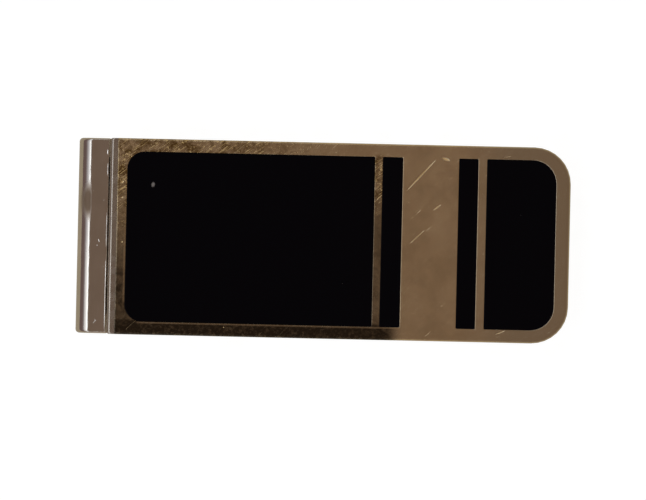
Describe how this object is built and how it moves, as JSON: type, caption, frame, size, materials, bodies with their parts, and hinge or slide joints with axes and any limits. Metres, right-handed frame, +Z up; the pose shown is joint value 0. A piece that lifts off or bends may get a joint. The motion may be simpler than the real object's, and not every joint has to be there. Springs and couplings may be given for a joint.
{
  "type": "money clip",
  "caption": "Flat oblong money clip: a gold-tone front with black enamel inlays on a silver backing plate, and a sprung back arm that hinges in a barrel across one end.",
  "frame": {"origin": "middle of the bounding box's underside, which is the plane the closed clip lies on", "axes": "+X from the barrel to the round-cornered open end, +Y across the clip, +Z up to the enamelled face"},
  "size_m": [0.051, 0.0204, 0.0047],
  "materials": {
    "silver_plate": "nickel-plated brass, satin",
    "gold_plate": "gold-plated brass, finely scratched",
    "enamel": "gloss black enamel",
    "polished_silver": "nickel-plated spring steel, polished",
    "steel": "drawn steel wire"
  },
  "bodies": {
    "front": {"base_plate": "silver_plate", "face_plate": "gold_plate", "enamel_main_panel": "enamel", "enamel_inner_stripe": "enamel", "enamel_outer_stripe": "enamel", "enamel_end_panel": "enamel"},
    "arm": {"clip_arm": "polished_silver", "hinge_pin": "steel", "barrel_plug_left": "silver_plate", "barrel_plug_right": "silver_plate", "torsion_spring": "steel"}
  },
  "joints": [
    {"name": "arm_hinge", "type": "hinge", "parent": "arm", "child": "front", "pos_m": [-0.02405, 0, 0.00145], "axis": [0, -1, 0], "range_deg": [0, 25], "stiffness_Nm_per_rad": 0.2, "springref_deg": -20.05, "deforming": ["torsion_spring"]}
  ]
}
